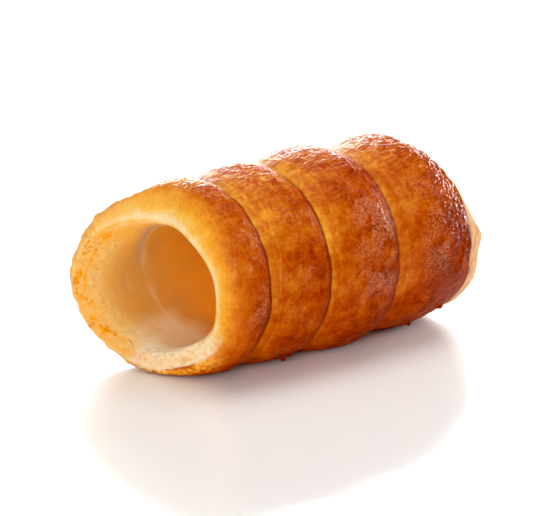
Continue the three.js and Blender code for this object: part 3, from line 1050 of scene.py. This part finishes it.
class Nodes:
    """Adds nodes to a material and links them in one line each."""

    def __init__(self, material):
        material.use_nodes = True
        self.tree = material.node_tree
        self.shader = self.tree.nodes["Principled BSDF"]

    def link(self, source, socket):
        if isinstance(source, bpy.types.NodeSocket):
            self.tree.links.new(source, socket)
        else:
            socket.default_value = source

    def mark(self, name):
        node = self.tree.nodes.new("ShaderNodeAttribute")
        node.attribute_name = name
        return node.outputs["Fac"]

    def grain(self, size, detail=2):
        """Noise of 0 to 1 with features of this size in millimetres."""
        coordinates = self.tree.nodes.new("ShaderNodeTexCoord")
        node = self.tree.nodes.new("ShaderNodeTexNoise")
        node.inputs["Scale"].default_value = 1 / (size * MM)
        node.inputs["Detail"].default_value = detail
        self.link(coordinates.outputs["Object"], node.inputs["Vector"])
        return node.outputs["Fac"]

    def sum(self, a, b, factor=1.0):
        """a + b * factor"""
        node = self.tree.nodes.new("ShaderNodeMath")
        node.operation = "MULTIPLY_ADD"
        self.link(b, node.inputs[0])
        node.inputs[1].default_value = factor
        self.link(a, node.inputs[2])
        return node.outputs[0]

    def clamped_sum(self, a, b, factor=1.0):
        """a + b * factor, kept between 0 and 1"""
        total = self.sum(a, b, factor)
        total.node.use_clamp = True
        return total

    def times(self, a, b):
        node = self.tree.nodes.new("ShaderNodeMath")
        node.operation = "MULTIPLY"
        self.link(a, node.inputs[0])
        self.link(b, node.inputs[1])
        return node.outputs[0]

    def blend(self, a, b, share):
        """Colour a where share is 0, colour b where it is 1."""
        node = self.tree.nodes.new("ShaderNodeMix")
        node.data_type = "RGBA"
        colour_a, colour_b, colour_out = node.inputs[6], node.inputs[7], node.outputs[2]
        self.link(share, node.inputs["Factor"])
        self.link(a, colour_a)
        self.link(b, colour_b)
        return colour_out

    def bump(self, height, depth):
        """A normal for a height of 0 to 1 that stands this many millimetres deep."""
        node = self.tree.nodes.new("ShaderNodeBump")
        node.inputs["Distance"].default_value = depth * MM
        self.link(height, node.inputs["Height"])
        return node.outputs["Normal"]

    def ramp(self, value, stops):
        """A colour for each value, blended between the stops."""
        node = self.tree.nodes.new("ShaderNodeValToRGB")
        elements = node.color_ramp.elements
        while len(elements) < len(stops):
            elements.new(0.5)
        for element, (place, shade) in zip(elements, stops):
            element.position = place
            element.color = shade
        self.link(value, node.inputs["Fac"])
        return node.outputs["Color"]


print("white is", colour(255, 255, 255))

# %% [markdown]
# ## The colours of baked dough
#
# Dough doesn't darken along one line from yellow to black: it goes from cream over gold and orange to a red brown.
# A ramp with a stop for each of those keeps the hues true, where a blend of two colours would pass through grey.
# The wall inside has a ramp of its own, and the places of bare or burnt dough have single colours.

# %% Ramps and colours
CRUST_RAMP = [
    (0.0, colour(247, 218, 166)),
    (0.15, colour(247, 189, 82)),
    (0.3, colour(240, 158, 52)),
    (0.45, colour(212, 118, 40)),
    (0.6, colour(193, 86, 30)),
    (0.75, colour(165, 61, 22)),
    (0.9, colour(112, 34, 14)),
    (1.0, colour(76, 20, 4)),
]
INNER_RAMP = [(0.0, colour(242, 208, 160)), (0.4, colour(226, 162, 84)), (1.0, colour(255, 178, 70))]
CEILING_LIGHT = colour(208, 166, 126)
CRUMB = colour(246, 200, 120)
RIM_GOLD = colour(246, 158, 26)
PIT = colour(236, 138, 8)
CREAM = colour(250, 230, 194)
PAINTED_SHEEN = colour(230, 148, 98)
TAIL_DOUGH = colour(255, 204, 158)
CURL_BURN_AND_SHADE = colour(116, 46, 34)
CONTACT_SHADE = colour(84, 28, 8)
print(len(CRUST_RAMP), "stops from raw to burnt")

# %% [markdown]
# ## Colouring the crust
#
# One material serves the whole pastry, because one piece of dough does. The ramp turns browning into colour, and a
# fine speckle shifts it a little from place to place. Then each special place is blended over it where its mark
# says, from the painted sheen on the flanks to the painted shade where the crust meets the floor. A material for
# each place would meet its neighbour at a hard line. Layers don't: a later one fades in over an earlier one, as on
# the real crust.

# %% The colour of the crust
SPECKLE_MEAN, SPECKLE_SHIFT = 0.9, 0.22
SHEEN_LEVEL, SHEEN_CONTRAST, SHEEN_SPREAD, SHEEN_STRENGTH = 3.15, 5, 1.15, 0.5
# Each layer has a mark, a colour and a strength. The wall inside comes after the first two and before the others.
# the curl's dark line is partly burnt dough and partly painted shade
FIRST_LAYERS = [("curl_burn_and_shade", CURL_BURN_AND_SHADE, 0.64), ("tail", TAIL_DOUGH, 1)]
LAST_LAYERS = [
    # painted light on the ceiling band before the lap
    ("lit_ceiling_band", CEILING_LIGHT, 0.85),
    ("crumb", CRUMB, 0.8),
    ("cream", CREAM, 0.9),
    ("rim_gold", RIM_GOLD, 1),
    ("pits", PIT, 0.75),
    ("contact", CONTACT_SHADE, 0.35),
]


def speckle(nodes):
    """Fine grain round 0, stronger where the crust is grainy."""
    even = nodes.sum(nodes.sum(-SPECKLE_MEAN, nodes.grain(0.5)), nodes.grain(0.28, 1), 0.8)
    return nodes.times(even, nodes.mark("grainy"))


def sheen_fleck_grain(nodes):
    """The painted sheen itself: the crests of a fine grain, within the mark that says where the sheen gathers."""
    crests = nodes.sum(-SHEEN_LEVEL, nodes.grain(0.55, 4), SHEEN_CONTRAST)
    return nodes.times(nodes.clamped_sum(crests, nodes.mark("sheen_flecks"), SHEEN_SPREAD), nodes.mark("sheen_flecks"))


def crust_colour(nodes, sheen_flecks):
    """The colour of the dough, layer over layer."""
    shade = nodes.ramp(nodes.sum(nodes.mark("browning"), speckle(nodes), SPECKLE_SHIFT), CRUST_RAMP)
    # painted sheen: the pale pinkish flecks stand in for reflections of the lights
    shade = nodes.blend(shade, PAINTED_SHEEN, nodes.times(sheen_flecks, SHEEN_STRENGTH))
    for mark, over, strength in FIRST_LAYERS:
        shade = nodes.blend(shade, over, nodes.times(nodes.mark(mark), strength))
    shade = nodes.blend(shade, nodes.ramp(nodes.mark("inner_tone"), INNER_RAMP), nodes.mark("inside"))
    for mark, over, strength in LAST_LAYERS:
        shade = nodes.blend(shade, over, nodes.times(nodes.mark(mark), strength))
    return shade


print(len(FIRST_LAYERS) + len(LAST_LAYERS), "layers over the browned dough")

# %% [markdown]
# ## Glaze, and light inside the dough
#
# Wet egg glaze is smooth and mirrors the lights, and dried glaze is rough and mirrors little. So roughness falls
# with the gloss mark, and the specular level falls with the dull mark. Dough is also a little translucent. The
# light that sinks in and comes out nearby is subsurface scattering, which softens the rim and the laps. A very
# low bump adds the grain that is finer than the mesh.

# %% Bake the crust
WET_SPECULAR, DULLING = 0.54, 0.45
DRY_ROUGHNESS, POLISH = 0.56, 0.47
SHEEN_ROUGHNESS, UNEVEN_ROUGHNESS, UNEVEN_SIZE = 0.12, 0.16, 1.3
GRAIN_SIZE, GRAIN_DEPTH = 0.7, 0.06
DOUGH_IOR = 1.32
SCATTERING, SCATTER_RADIUS, SCATTER_DEPTH = 0.15, (1.0, 0.4, 0.12), 1.2


def make_crust():
    material = bpy.data.materials.new("baked dough")
    nodes = Nodes(material)
    shader = nodes.shader
    sheen_flecks = sheen_fleck_grain(nodes)
    nodes.link(crust_colour(nodes, sheen_flecks), shader.inputs["Base Color"])
    nodes.link(nodes.sum(WET_SPECULAR, nodes.mark("dull"), -DULLING), shader.inputs["Specular IOR Level"])
    rough = nodes.sum(nodes.sum(DRY_ROUGHNESS, nodes.mark("gloss"), -POLISH), sheen_flecks, SHEEN_ROUGHNESS)
    rough = nodes.sum(rough, nodes.sum(-0.5, nodes.grain(UNEVEN_SIZE)), UNEVEN_ROUGHNESS)
    nodes.link(rough, shader.inputs["Roughness"])
    nodes.link(nodes.bump(nodes.grain(GRAIN_SIZE, 1), GRAIN_DEPTH), shader.inputs["Normal"])
    shader.inputs["IOR"].default_value = DOUGH_IOR
    shader.inputs["Subsurface Weight"].default_value = SCATTERING
    shader.inputs["Subsurface Radius"].default_value = SCATTER_RADIUS
    shader.inputs["Subsurface Scale"].default_value = SCATTER_DEPTH * MM
    return material


crust = make_crust()
for piece in crust_pieces:
    piece.data.materials.append(crust)
    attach(piece, "root")
    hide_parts(NODE)
print("baked", len(crust_pieces), "pieces")

# %% [markdown]
# ## The floor
#
# The pastry lies on glossy white, which shows a faint mirror image of it. A sheet of glass over white paper would
# look much the same, but one wide plane with a low roughness is enough. It lies a hair below the foot, so that the
# two surfaces never fight over the same place.

# %% Floor
FLOOR_SIZE, FLOOR_DROP = 6.0, 0.00005
FLOOR_WHITE, FLOOR_ROUGHNESS, FLOOR_IOR = (0.95, 0.945, 0.925, 1), 0.24, 1.5
bpy.ops.mesh.primitive_plane_add(size=FLOOR_SIZE, location=(0, 0, -FLOOR_DROP))
floor = bpy.context.object
floor.name = "white_floor"
glossy_white = bpy.data.materials.new("glossy white")
floor_shader = Nodes(glossy_white).shader
floor_shader.inputs["Base Color"].default_value = FLOOR_WHITE
floor_shader.inputs["Roughness"].default_value = FLOOR_ROUGHNESS
floor_shader.inputs["IOR"].default_value = FLOOR_IOR
floor.data.materials.append(glossy_white)
print("floor", FLOOR_SIZE, "m wide")

# %% [markdown]
# ## The light
#
# A glossy, rounded thing is seen by what it mirrors. Spot lamps would leave hard white dots on it, so it is lit with
# soft boxes, each placed where its reflection should lie. Those behind are low and wide, and draw the bright line
# along the tops. One on the left lights the mouth, one overhead fills the creases, and the even white of the world
# around does the rest. Each box's power is worked out from its area, so that a change of size leaves its brightness
# as it was.

# %% Lights
WORLD_STRENGTH = 0.35
SOFTBOXES = [  # name, azimuth from -Y towards +X, elevation, distance, width, height, brightness
    ("white_wall_behind", 141.5, 19, 2.4, 1.6, 0.75, 1.3),
    ("white_wall_low", 136, 7.5, 2.4, 3.7, 0.55, 4.4),
    ("softbox_behind", 147, 25, 1.8, 0.85, 0.08, 34),
    ("softbox_rim", 90, 12, 1.8, 0.7, 0.45, 13),
    ("softbox_right", 60, 22, 1.8, 0.3, 0.3, 9),
    ("softbox_overhead", 115, 76, 1.5, 0.9, 0.9, 4.1),
    ("softbox_left", -64, 12, 1.8, 0.7, 0.5, 12.4),
    ("fill_from_the_front", -20, 34, 1.6, 0.9, 0.9, 1.0),
]

world = bpy.data.worlds.new("white studio")
bpy.context.scene.world = world
world.use_nodes = True
backdrop = world.node_tree.nodes["Background"]
backdrop.inputs["Color"].default_value = (1, 1, 1, 1)
backdrop.inputs["Strength"].default_value = WORLD_STRENGTH


def direction(azimuth, elevation):
    """The unit vector from the pastry towards an azimuth, counted from -Y towards +X, and an elevation."""
    a, e = math.radians(azimuth), math.radians(elevation)
    return Vector((math.sin(a) * math.cos(e), -math.cos(a) * math.cos(e), math.sin(e)))


def softbox(name, azimuth, elevation, distance, width, height, brightness):
    """A flat soft light that faces the pastry; its brightness is what each part of it sends out, whatever its size."""
    lamp = bpy.data.lights.new(name, "AREA")
    lamp.shape = "RECTANGLE"
    lamp.size, lamp.size_y = width, height
    lamp.energy = math.pi * width * height * brightness
    light = bpy.data.objects.new(name, lamp)
    source = direction(azimuth, elevation)
    light.location = source * distance
    light.rotation_euler = source.to_track_quat("Z", "Y").to_euler()
    bpy.context.collection.objects.link(light)


for box in SOFTBOXES:
    softbox(*box)
print(len(SOFTBOXES), "soft lights")

# %% [markdown]
# ## The camera
#
# The camera stands a metre off on the mouth's side and looks down a little. Close up, a wide lens would make the
# mouth bulge. From here a long lens shows the tube with hardly any taper. It aims near the middle of the pastry, and
# a slight black level gives the darkest browns their depth.

# %% Camera
VIEW_AZIMUTH, VIEW_ELEVATION = -38.53, 17.82
VIEW_DISTANCE = 1.00265
FOCAL_PIXELS, IMAGE_WIDTH = 3990, 550
SENSOR = 36
FAR_CLIP = 20
BLACK_LEVEL = 0.015
AIM = np.array([45.342, -0.623, 23.146])  # in millimetres, before the crust was centred

back = direction(VIEW_AZIMUTH, VIEW_ELEVATION)
lens = bpy.data.cameras.new("camera")
lens.sensor_width = SENSOR
lens.lens = FOCAL_PIXELS / IMAGE_WIDTH * SENSOR
lens.clip_end = FAR_CLIP
camera = bpy.data.objects.new("camera", lens)
camera.location = Vector((AIM + shift) * MM) + back * VIEW_DISTANCE
camera.rotation_euler = back.to_track_quat("Z", "Y").to_euler()
bpy.context.collection.objects.link(camera)
bpy.context.scene.camera = camera
view = bpy.context.scene.view_settings
view.view_transform = "Standard"
view.use_curve_mapping = True
view.curve_mapping.black_level = (BLACK_LEVEL,) * 3
print("camera at", [round(v, 3) for v in camera.location])
